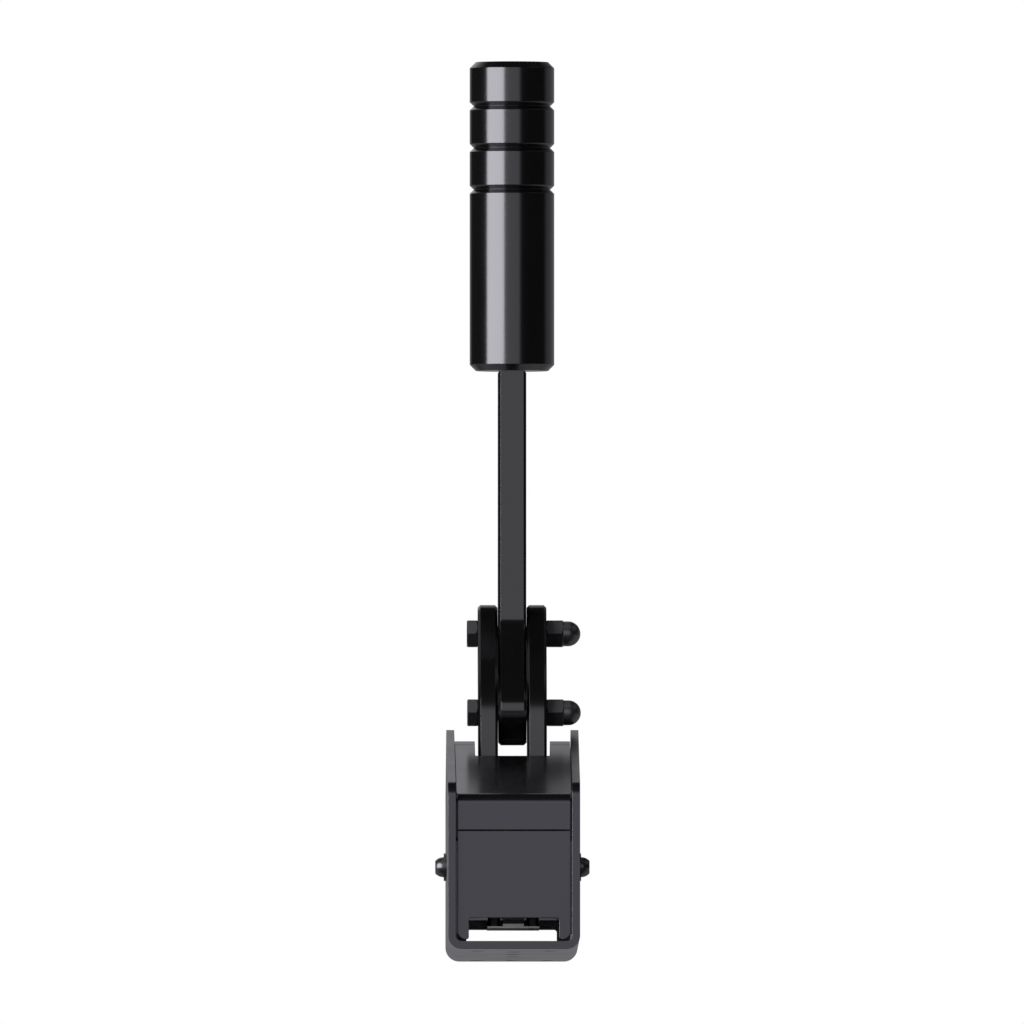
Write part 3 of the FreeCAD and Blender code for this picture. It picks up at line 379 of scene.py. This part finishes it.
high_up = ramp(height, HIGH_FROM, HIGH_TO)
left_high = times(tree, ramp(bearing, *LEFT_BACK_HIGH), high_up)
left_back = larger(tree, left_high, ramp(bearing, *LEFT_BACK_LOW))
back = calculate(tree, "ADD", (ramp(bearing, *RIGHT_BACK), 0), (left_back, 0))
tone = remap(tree, high_up, 0, 0, 1, BACK_TONE_LOW, BACK_TONE_HIGH)
even = remap(tree, high_up, 0, 0, 1, 1.0, 0.0)
fade_from, fade_to = (math.radians(angle) for angle in MIDDLE_FADE)
central = remap(tree, either_side, 0, fade_from, fade_to, SIDE_SHARE, 1.0, smooth=True)
leftward = remap(tree, split, "X", -RIGHT_FADE, RIGHT_FADE, 1.0, RIGHT_SHARE, smooth=True)
behind = times(tree, tone, larger(tree, central, even))
behind = times(tree, behind, larger(tree, leftward, even))
behind = times(tree, behind, ramp(height, *ROOF_FADE))
behind = times(tree, behind, back)
print("light from behind:", BACK_TONE_LOW, "low and", BACK_TONE_HIGH, "high")

# %% [markdown]
# Three weaker tones keep the other faces from flat black: a low one all round below the window,
# one below the horizon at both sides for the walls, and one in the loft for faces that look up.
# Black cloth is not quite black either, and its tone is the least that any face can mirror.

# %% Tones below, beside and above
BELOW_TONE = 0.10
BELOW_FADE = (-14.0, -22.0)
BELOW_SIDE_TONE = 0.50
SIDES = (60.0, 140.0)
SIDES_FADE = 15.0
SIDES_BELOW = (-2.0, -10.0)
LOFT_TONE = 0.30
LOFT_HEIGHT = (25.0, 62.0)
LOFT_HEIGHT_FADE = 6.0
LOFT_SIDES = (48.0, 120.0)
LOFT_SIDES_FADE = 10.0
CLOTH_TONE = 0.030

below = calculate(tree, "MULTIPLY", (ramp(height, *BELOW_FADE), 0), BELOW_TONE)
low_sides = times(tree, ramp(height, *SIDES_BELOW), between(either_side, *SIDES, SIDES_FADE))
low_sides = calculate(tree, "MULTIPLY", (low_sides, 0), BELOW_SIDE_TONE)
loft = times(
    tree,
    between(height, *LOFT_HEIGHT, LOFT_HEIGHT_FADE),
    between(either_side, *LOFT_SIDES, LOFT_SIDES_FADE),
)
loft = calculate(tree, "MULTIPLY", (loft, 0), LOFT_TONE)
shade = behind
for weaker in (loft, below, low_sides):
    shade = larger(tree, shade, weaker)
shade = calculate(tree, "MAXIMUM", (shade, 0), CLOTH_TONE)
print("least tone", CLOTH_TONE)

# %% [markdown]
# The ball now gets its material: it glows with these tones and is clear in the window. The glow is
# faintly violet, as in the photo's brighter edges. It is left out of the sampling of lamps, because
# it lights nothing and only shows in reflections.

# %% Hang the cards
CARD_COLOUR = (0.96, 0.95, 1.0, 1)

glow = add_node(tree, "ShaderNodeEmission", Color=CARD_COLOUR)
join(tree, shade, 0, glow, "Strength")
clear = add_node(tree, "ShaderNodeBsdfTransparent")
hung = mix_shaders(tree, window, 0, glow, clear)
out = add_node(tree, "ShaderNodeOutputMaterial")
join(tree, hung, 0, out, "Surface")
card.cycles.emission_sampling = "NONE"
cards.data.materials.append(card)
print("card nodes:", len(tree.nodes))

# %% [markdown]
# ## Shared effects
# Real edges are never knife sharp: they are broken by a file or rounded by paint, and wear shows
# on them first. This could be modelled on every piece, but one node group does it for all: it
# rounds the shading at edges and compares it with the true normal, which tells where edges are.
# A noise breaks that mask up, so the wear comes in chips.

# %% Group: edges
def new_group(name, inputs, outputs):
    """An empty shader group with named value sockets. An output named Normal is a vector."""
    group = bpy.data.node_groups.new(name, "ShaderNodeTree")
    for title, value in inputs.items():
        socket = group.interface.new_socket(
            title, in_out="INPUT", socket_type="NodeSocketFloat"
        )
        socket.default_value = value
    for title in outputs:
        kind = "NodeSocketVector" if title == "Normal" else "NodeSocketFloat"
        group.interface.new_socket(title, in_out="OUTPUT", socket_type=kind)
    return group, group.nodes.new("NodeGroupInput"), group.nodes.new("NodeGroupOutput")


BEVEL_SAMPLES = 6
EDGE_STARTS = 0.985
EDGE_IS_FULL = 0.86
CHIPS_FROM = 0.42
CHIPS_TO = 0.66

edges, given, result = new_group(
    "broken_edges", {"Radius": 0.3 * MM, "Chips": 600.0}, ("Normal", "Mask")
)
rounded = add_node(edges, "ShaderNodeBevel", {"samples": BEVEL_SAMPLES})
join(edges, given, "Radius", rounded, "Radius")
true_side = add_node(edges, "ShaderNodeNewGeometry")
match = add_node(edges, "ShaderNodeVectorMath", {"operation": "DOT_PRODUCT"})
join(edges, rounded, "Normal", match, 0)
join(edges, true_side, "Normal", match, 1)
near_edge = remap(edges, match, "Value", EDGE_STARTS, EDGE_IS_FULL)
place = add_node(edges, "ShaderNodeTexCoord")
chips = add_node(edges, "ShaderNodeTexNoise", Detail=3.0, Roughness=0.6)
join(edges, place, "Object", chips, "Vector")
join(edges, given, "Chips", chips, "Scale")
uneven = remap(edges, chips, "Fac", CHIPS_FROM, CHIPS_TO)
mask = times(edges, near_edge, uneven)
join(edges, rounded, "Normal", result, "Normal")
join(edges, mask, 0, result, "Mask")
print("group", edges.name)

# %% [markdown]
# Paint has a fine orange peel, and a cutter leaves a path. Both are one noise, even in all
# directions for paint and stretched along an axis for a path.

# %% Group: grain
grain, given, result = new_group(
    "fine_grain", {"Scale": 900.0, "Along X": 1.0, "Along Y": 1.0, "Along Z": 1.0}, ("Height",)
)
place = add_node(grain, "ShaderNodeTexCoord")
stretch = add_node(grain, "ShaderNodeCombineXYZ")
for axis in "XYZ":
    join(grain, given, "Along " + axis, stretch, axis)
scaled = add_node(grain, "ShaderNodeVectorMath", {"operation": "MULTIPLY"})
join(grain, place, "Object", scaled, 0)
join(grain, stretch, 0, scaled, 1)
cloud = add_node(grain, "ShaderNodeTexNoise", Detail=2.0, Roughness=0.55)
join(grain, scaled, 0, cloud, "Vector")
join(grain, given, "Scale", cloud, "Scale")
join(grain, cloud, "Fac", result, "Height")
print("group", grain.name)

# %% [markdown]
# Hands and cloths leave slow patches, a little duller or brighter than their surroundings. They
# only change the roughness, since a black part shows them in its shine alone.

# %% Group: patches
PATCHES_FROM = 0.30
PATCHES_TO = 0.70

patches, given, result = new_group(
    "handling_patches", {"Scale": 35.0, "Low": 0.25, "High": 0.32}, ("Value",)
)
place = add_node(patches, "ShaderNodeTexCoord")
cloud = add_node(patches, "ShaderNodeTexNoise", Detail=2.0, Roughness=0.5)
join(patches, place, "Object", cloud, "Vector")
join(patches, given, "Scale", cloud, "Scale")
spread = remap(patches, cloud, "Fac", PATCHES_FROM, PATCHES_TO, smooth=True)
join(patches, given, "Low", spread, "To Min")
join(patches, given, "High", spread, "To Max")
join(patches, spread, "Result", result, "Value")
print("group", patches.name)

# %% [markdown]
# ## One recipe for a finished surface
# Most finishes here share a build: a base colour that lightens on worn edges, a roughness that
# drifts in patches, and a fine relief laid over rounded edges. A function wires it, and each finish
# then says only what is its own. `mix_over` lays a second colour over the base where a mask is 1.

# %% The recipe
FAINT_BLUE = (0.935, 0.915, 1.0, 1.0)
COLOUR_FACTOR = 0
COLOUR_BELOW = 6
COLOUR_ABOVE = 7
COLOUR_RESULT = 2


def use_group(tree, group, **sockets):
    """Places a shared group in a material and sets its inputs."""
    node = tree.nodes.new("ShaderNodeGroup")
    node.node_tree = group
    for key, value in sockets.items():
        node.inputs[key.replace("_", " ")].default_value = value
    return node


def mix_over(tree, mask, output, above):
    """A colour mix that shows the given colour where the mask is 1."""
    node = add_node(tree, "ShaderNodeMix", {"data_type": "RGBA"})
    node.inputs[COLOUR_ABOVE].default_value = (*above, 1)
    join(tree, mask, output, node, COLOUR_FACTOR)
    return node


def finish(name, colour, worn, smooth, rough, ior=1.6, metal=0.0, tint=FAINT_BLUE,
           edge=0.3 * MM, relief=0.1, depth=0.02 * MM, grain_scale=900.0, along=(1.0, 1.0, 1.0)):
    """A surface with worn edges, drifting roughness from smooth to rough, and grain."""
    material = bpy.data.materials.new(name)
    material.use_nodes = True
    tree = material.node_tree
    shader = tree.nodes["Principled BSDF"]
    shader.inputs["IOR"].default_value = ior
    shader.inputs["Metallic"].default_value = metal
    shader.inputs["Specular Tint"].default_value = tint
    rim = use_group(tree, edges, Radius=edge)
    drift = use_group(tree, patches, Low=smooth, High=rough)
    texture = use_group(
        tree, grain, Scale=grain_scale, Along_X=along[0], Along_Y=along[1], Along_Z=along[2]
    )
    paint = mix_over(tree, rim, "Mask", worn)
    paint.inputs[COLOUR_BELOW].default_value = (*colour, 1)
    bump = add_node(tree, "ShaderNodeBump", Strength=relief, Distance=depth)
    join(tree, paint, COLOUR_RESULT, shader, "Base Color")
    join(tree, drift, "Value", shader, "Roughness")
    join(tree, texture, "Height", bump, "Height")
    join(tree, rim, "Normal", bump, "Normal")
    join(tree, bump, "Normal", shader, "Normal")
    return material


print("recipe ready")

# %% [markdown]
# ## The finishes
# Powder coat is baked plastic: faintly wavy, satin, black with a touch of blue in its shine. The
# covers are sprayed from another side and come out a little smoother. Anodised aluminium is
# blacker and shows the cutter's path. The grip is turned, so its path runs round it. Screws are
# oiled black oxide, a little greyer than the rest.

# %% Black finishes
POWDER_BLUE = (0.88, 0.86, 1.0, 1.0)
POWDER_BLACK = (0.0016, 0.0016, 0.0019)
POWDER_WORN = (0.003, 0.003, 0.0032)
ANODISED_BLACK = (0.0013, 0.0013, 0.0014)
ANODISED_WORN = (0.003, 0.003, 0.003)

powder = finish(
    "powder_black", POWDER_BLACK, POWDER_WORN, smooth=0.23, rough=0.27, ior=1.69,
    tint=POWDER_BLUE, edge=0.25 * MM, relief=0.06, depth=0.02 * MM, grain_scale=850.0,
)
cover_powder = finish(
    "powder_black_soft", POWDER_BLACK, POWDER_WORN, smooth=0.20, rough=0.23, ior=1.695,
    tint=POWDER_BLUE, edge=0.25 * MM, relief=0.08, depth=0.02 * MM, grain_scale=850.0,
)
milled = finish(
    "anodised_milled", ANODISED_BLACK, ANODISED_WORN, smooth=0.15, rough=0.18, ior=1.62,
    edge=0.12 * MM, relief=0.06, depth=0.008 * MM, grain_scale=2600.0, along=(0.4, 1.0, 0.25),
)
turned = finish(
    "anodised_turned", ANODISED_BLACK, ANODISED_WORN, smooth=0.17, rough=0.19, ior=1.60,
    edge=0.3 * MM, relief=0.05, depth=0.006 * MM, grain_scale=2400.0, along=(0.12, 0.12, 3.0),
)
oxide = finish(
    "black_oxide", (0.004, 0.004, 0.0042), (0.008, 0.008, 0.008), smooth=0.26, rough=0.30,
    ior=1.72, edge=0.12 * MM, relief=0.05, depth=0.01 * MM, grain_scale=3200.0,
)
print("finishes:", [material.name for material in (powder, cover_powder, milled, turned, oxide)])

# %% [markdown]
# The pieces inside the housing show through the slot, the cable way and the rear. Axle, plunger
# and spring are ground steel, the bushes oil-filled bronze, the stops rubber and the data socket
# nylon. Metals take their colour from the reflection, so they need no blue tint. The boards wear
# a black solder mask, and bare copper and glass shine through at its edges.

# %% Other finishes
NO_TINT = (1, 1, 1, 1)

steel = finish(
    "ground_steel", (0.50, 0.51, 0.53), (0.60, 0.60, 0.60), smooth=0.20, rough=0.32, metal=1.0,
    tint=NO_TINT, edge=0.2 * MM, relief=0.2, depth=0.008 * MM, grain_scale=3000.0,
    along=(1.0, 0.15, 1.0),
)
bronze = finish(
    "sintered_bronze", (0.48, 0.31, 0.14), (0.60, 0.42, 0.22), smooth=0.34, rough=0.50, metal=1.0,
    tint=NO_TINT, edge=0.2 * MM, relief=0.3, depth=0.02 * MM, grain_scale=2200.0,
)
rubber = finish(
    "matt_rubber", (0.016, 0.016, 0.016), (0.03, 0.03, 0.03), smooth=0.55, rough=0.70, ior=1.5,
    edge=0.4 * MM, relief=0.3, depth=0.03 * MM, grain_scale=1500.0,
)
nylon = finish(
    "matt_nylon", (0.010, 0.010, 0.011), (0.02, 0.02, 0.02), smooth=0.42, rough=0.52, ior=1.5,
    relief=0.2, depth=0.02 * MM, grain_scale=1800.0,
)
solder_mask = finish(
    "solder_mask", (0.006, 0.007, 0.008), (0.10, 0.095, 0.08), smooth=0.25, rough=0.32, ior=1.6,
    edge=0.1 * MM, relief=0.05, depth=0.01 * MM, grain_scale=1200.0,
)
print("finishes:", [material.name for material in (steel, bronze, rubber, nylon, solder_mask)])

# %% [markdown]
# Two finishes need one thing more, which depends on the way a face looks. So they split the true
# normal into its parts and build a mask from them. The mask's colour goes over the base colour.

# %% Helpers for masks by direction
def split_vector(tree, kind, output):
    """Adds an input node and splits one of its vectors into X, Y and Z."""
    source = add_node(tree, kind)
    parts = add_node(tree, "ShaderNodeSeparateXYZ")
    join(tree, source, output, parts, 0)
    return parts


def lay_over_base(material, mask, colour):
    """Lays a colour over a finish's base colour where the mask is 1."""
    tree = material.node_tree
    base = tree.nodes["Principled BSDF"].inputs["Base Color"]
    paint = base.links[0].from_node
    layer = mix_over(tree, mask, 0, colour)
    join(tree, paint, COLOUR_RESULT, layer, COLOUR_BELOW)
    tree.links.new(layer.outputs[COLOUR_RESULT], base)


print("mask helpers ready")

# %% [markdown]
# A circuit board is masked on its two faces only. The sawn edges of the level one are bare metal
# and glass, while the moulded parts that stand on it are matt. The edges are the upright faces
# to front and rear that lie within the board's thickness.

# %% Sawn edge of the board
BOARD_THICKNESS = 1.7 * MM
MATT_IOR = 1.3
UPRIGHT_FROM = 0.9
SAWN_COLOUR = (0.34, 0.34, 0.35)
SAWN_METAL = 0.8

board_low = min(corner.co.z for corner in nodes["controller_board"].data.vertices)
sawn_board = solder_mask.copy()
sawn_board.name = "solder_mask_sawn"
tree = sawn_board.node_tree
shader = tree.nodes["Principled BSDF"]
shader.inputs["IOR"].default_value = MATT_IOR
facing = split_vector(tree, "ShaderNodeNewGeometry", "True Normal")
spot = split_vector(tree, "ShaderNodeTexCoord", "Object")
endwise = calculate(tree, "ABSOLUTE", (facing, "Y"))
is_end = calculate(tree, "GREATER_THAN", (endwise, 0), UPRIGHT_FROM)
in_board = calculate(tree, "LESS_THAN", (spot, "Z"), board_low + BOARD_THICKNESS)
sawn = times(tree, is_end, in_board)
lay_over_base(sawn_board, sawn, SAWN_COLOUR)
plated = calculate(tree, "MULTIPLY", (sawn, 0), SAWN_METAL)
join(tree, plated, 0, shader, "Metallic")
print("board is sawn up to", round(board_low + BOARD_THICKNESS, 4), "m")

# %% [markdown]
# The flats of bolts and nuts that look up get a painted highlight, a lighter colour that stands in
# for light from above, but their domes and ends don't. It could be a second material on those
# faces.
# A mask needs no faces picked by hand: it is 1 where the true normal points up and lies square to
# the bolt, which runs along X.

# %% Painted highlight on the flats
# The colour of the painted highlight on flats that look up
FLAT_HIGHLIGHT_COLOUR = (0.027, 0.027, 0.029)
UP_FROM = 0.35
UP_TO = 0.45
ACROSS_TO = 0.15
ACROSS_FROM = 0.25

tree = oxide.node_tree
facing = split_vector(tree, "ShaderNodeNewGeometry", "True Normal")
upward = remap(tree, facing, "Z", UP_FROM, UP_TO)
across = calculate(tree, "ABSOLUTE", (facing, "X"))
along_bolt = remap(tree, across, 0, ACROSS_FROM, ACROSS_TO)
# Painted highlight: up-facing flats are made lighter in colour, not lit by a lamp
lay_over_base(oxide, times(tree, upward, along_bolt), FLAT_HIGHLIGHT_COLOUR)
print("painted_highlight on", oxide.name)

# %% [markdown]
# ## Dressing the nodes
# The construction's record names a material slot for every node. Each slot gets its finish, but
# four nodes get one of their own: the turned grip, the two covers and the board seen on edge.

# %% Each node gets its finish
SLOT_FINISH = {
    "powder_coat": powder,
    "black_anodised": milled,
    "black_oxide": oxide,
    "bare_steel": steel,
    "bronze": bronze,
    "elastomer": rubber,
    "circuit_board": solder_mask,
    "socket_plastic": nylon,
}
OWN_FINISH = {
    "grip": turned,
    "front_cover": cover_powder,
    "rear_cover": cover_powder,
    "controller_board": sawn_board,
}
for part in frame["record"]["subparts"]:
    slot_finish = SLOT_FINISH[part["material_slot"]]
    nodes[part["node"]].material_slots[0].material = OWN_FINISH.get(part["node"], slot_finish)

# %% [markdown]
# ## The contacts in the data socket
# The lead plugs in at the back. In the mouth of the real socket a flat tongue carries four plated
# contacts. They touch nothing that moves, so they are modelled here. Each starts as a block at its
# size and place. The tongue's nose is bevelled, so that a plug finds its way over it.

# %% Helpers for modelling by hand
def add_block(name, middle, size):
    """A block of a given size, with its place in its mesh, ready to be shaped."""
    bpy.ops.object.select_all(action="DESELECT")
    bpy.ops.mesh.primitive_cube_add(size=1, location=middle)
    piece = bpy.context.object
    piece.name = name
    piece.scale = size
    bpy.ops.object.transform_apply(location=True, rotation=True, scale=True)
    return piece


def pick_faces(piece, test):
    """Opens edit mode with only those faces selected whose middle passes the test."""
    bpy.ops.object.mode_set(mode="EDIT")
    bpy.ops.mesh.select_mode(type="FACE")
    bpy.ops.mesh.select_all(action="DESELECT")
    bpy.ops.object.mode_set(mode="OBJECT")
    for face in piece.data.polygons:
        face.select = test(face.center)
    bpy.ops.object.mode_set(mode="EDIT")


print("modelling helpers ready")

# %% Tongue
SMOOTH_BELOW = math.radians(35)
MOUTH_DEPTH = 13.0 * MM
TONGUE_WIDTH = 6.4 * MM
TONGUE_LENGTH = 10.5 * MM
TONGUE_HEIGHT = 2.2 * MM
TONGUE_ROOT = 0.3 * MM
NOSE_BEVEL = 0.5 * MM
NOSE_STEPS = 3

socket_low, socket_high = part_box("data_socket")
socket_z = (socket_low[2] + socket_high[2]) / 2
mouth_floor = socket_high[1] - MOUTH_DEPTH
tongue_tip = mouth_floor + TONGUE_LENGTH
tongue = add_block(
    "socket_tongue",
    (0, mouth_floor + (TONGUE_LENGTH - TONGUE_ROOT) / 2, socket_z),
    (TONGUE_WIDTH, TONGUE_LENGTH + TONGUE_ROOT, TONGUE_HEIGHT),
)
pick_faces(tongue, lambda middle: middle.y > tongue_tip - NOSE_BEVEL)
bpy.ops.mesh.bevel(offset=NOSE_BEVEL, segments=NOSE_STEPS, affect="EDGES")
bpy.ops.object.mode_set(mode="OBJECT")
bpy.ops.object.shade_smooth_by_angle(angle=SMOOTH_BELOW)
tongue.data.materials.append(nylon)
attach(tongue, "housing")
print("tongue has", len(tongue.data.polygons), "faces")

# %% [markdown]
# The four contacts are alike, so one is modelled and an Array modifier sets the others beside it.
# Its front face is extruded down onto the tongue, which makes the ramp that the plug's own contact
# slides up. They lie on top of the tongue, which they touch along their whole length.

# %% Contacts
CONTACT_COUNT = 4
CONTACT_PITCH = 1.4 * MM
CONTACT_WIDTH = 0.8 * MM
CONTACT_LENGTH = 8.0 * MM
CONTACT_HEIGHT = 0.3 * MM
CONTACT_SINK = 0.1 * MM
RAMP_LENGTH = 0.9 * MM
RAMP_DROP = 0.25 * MM
CONTACT_BEVEL = 0.05 * MM
BEVEL_STEPS = 2

row_start = -CONTACT_PITCH * (CONTACT_COUNT - 1) / 2
contact_tip = mouth_floor + CONTACT_LENGTH
contacts = add_block(
    "socket_contacts",
    (
        row_start,
        mouth_floor + CONTACT_LENGTH / 2,
        socket_z + TONGUE_HEIGHT / 2 + CONTACT_HEIGHT / 2 - CONTACT_SINK,
    ),
    (CONTACT_WIDTH, CONTACT_LENGTH, CONTACT_HEIGHT),
)
pick_faces(contacts, lambda middle: middle.y > contact_tip - RAMP_LENGTH)
bpy.ops.mesh.extrude_region_move(TRANSFORM_OT_translate={"value": (0, RAMP_LENGTH, -RAMP_DROP)})
bpy.ops.object.mode_set(mode="OBJECT")
bpy.ops.object.modifier_add(type="BEVEL")
soften = contacts.modifiers[-1]
soften.width = CONTACT_BEVEL
soften.segments = BEVEL_STEPS
bpy.ops.object.modifier_apply(modifier=soften.name)
bpy.ops.object.modifier_add(type="ARRAY")
row = contacts.modifiers[-1]
row.count = CONTACT_COUNT
row.use_relative_offset = False
row.use_constant_offset = True
row.constant_offset_displace = (CONTACT_PITCH, 0, 0)
bpy.ops.object.modifier_apply(modifier=row.name)
bpy.ops.object.shade_smooth_by_angle(angle=SMOOTH_BELOW)
contacts.data.materials.append(bronze)
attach(contacts, "housing")
print("contacts have", len(contacts.data.polygons), "faces")

# %% [markdown]
# ## A stand-in for the spring
# As the lever is pulled, the plunger runs forward and the return spring must shorten, or its turns
# would stick out through the plunger's head. The construction's spring is rigid, so a copy stands
# in for it. The copy's loose triangles are merged first.

# %% Spring
MERGE_WITHIN = 0.001 * MM
WIRE_SMOOTH_BELOW = math.radians(50)

bpy.ops.object.select_all(action="DESELECT")
rigid_spring = nodes["return_spring"]
rigid_spring.select_set(True)
bpy.context.view_layer.objects.active = rigid_spring
bpy.ops.object.duplicate()
spring = bpy.context.object
spring.name = "spring_coil"
del spring["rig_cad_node"]
bpy.ops.object.parent_clear(type="CLEAR_KEEP_TRANSFORM")
bpy.ops.object.transform_apply(location=True, rotation=True, scale=True)
bpy.ops.mesh.customdata_custom_splitnormals_clear()
bpy.ops.object.mode_set(mode="EDIT")
bpy.ops.mesh.select_all(action="SELECT")
bpy.ops.mesh.remove_doubles(threshold=MERGE_WITHIN)
bpy.ops.object.mode_set(mode="OBJECT")
bpy.ops.object.shade_smooth_by_angle(angle=WIRE_SMOOTH_BELOW)
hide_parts("return_spring")
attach(spring, "housing")
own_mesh(spring)
